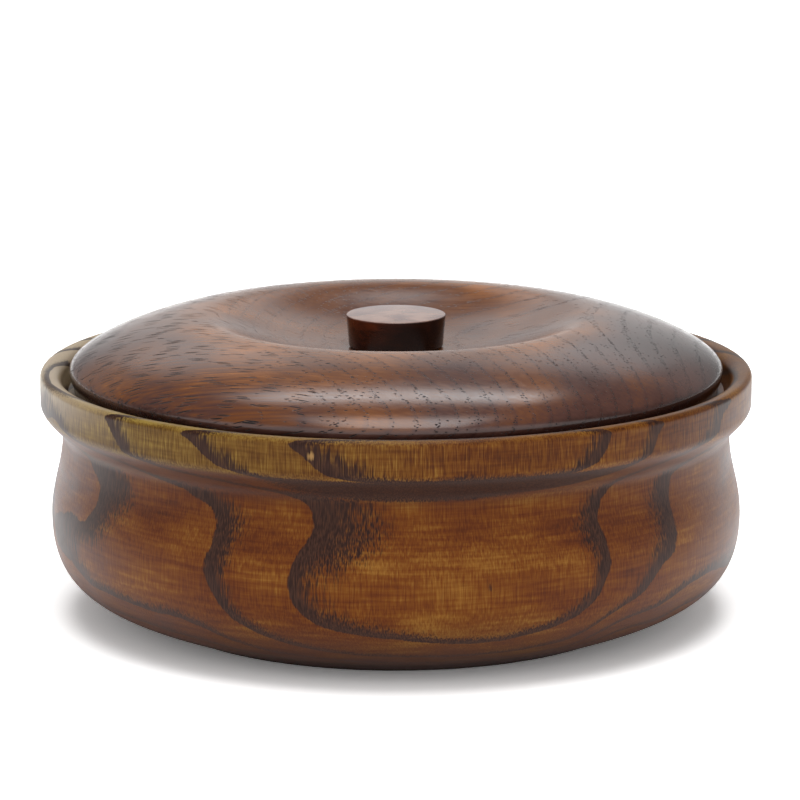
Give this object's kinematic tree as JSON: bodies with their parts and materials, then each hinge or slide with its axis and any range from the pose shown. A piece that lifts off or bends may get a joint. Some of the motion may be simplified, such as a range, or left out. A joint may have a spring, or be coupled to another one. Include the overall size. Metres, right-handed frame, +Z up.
{
  "type": "lidded wooden bowl",
  "caption": "Turned wooden serving bowl with a banded rim, full belly and rebated mouth, closed by a dished lid with a flat round knob.",
  "frame": {"origin": "centre of the base, on the plane the bowl stands on", "axes": "+Z up along the turning axis, -Y towards the viewer of the reference view, +X to the right"},
  "size_m": [0.24, 0.24, 0.1018],
  "materials": {
    "bowl_wood": "stained ring-porous hardwood, satin-gloss lacquer",
    "lid_wood": "dark stained ring-porous hardwood, satin-gloss lacquer",
    "knob_wood": "very dark stained hardwood, satin-gloss lacquer",
    "dowel_wood": "bare hardwood"
  },
  "bodies": {
    "bowl": {"bowl": "bowl_wood"},
    "lid": {"lid": "lid_wood", "knob": "knob_wood", "knob_dowel": "dowel_wood"}
  },
  "joints": [
    {"name": "lid_lift", "type": "slide", "parent": "bowl", "child": "lid", "axis": [0, 0, 1], "range_m": [0, 0.12]}
  ]
}
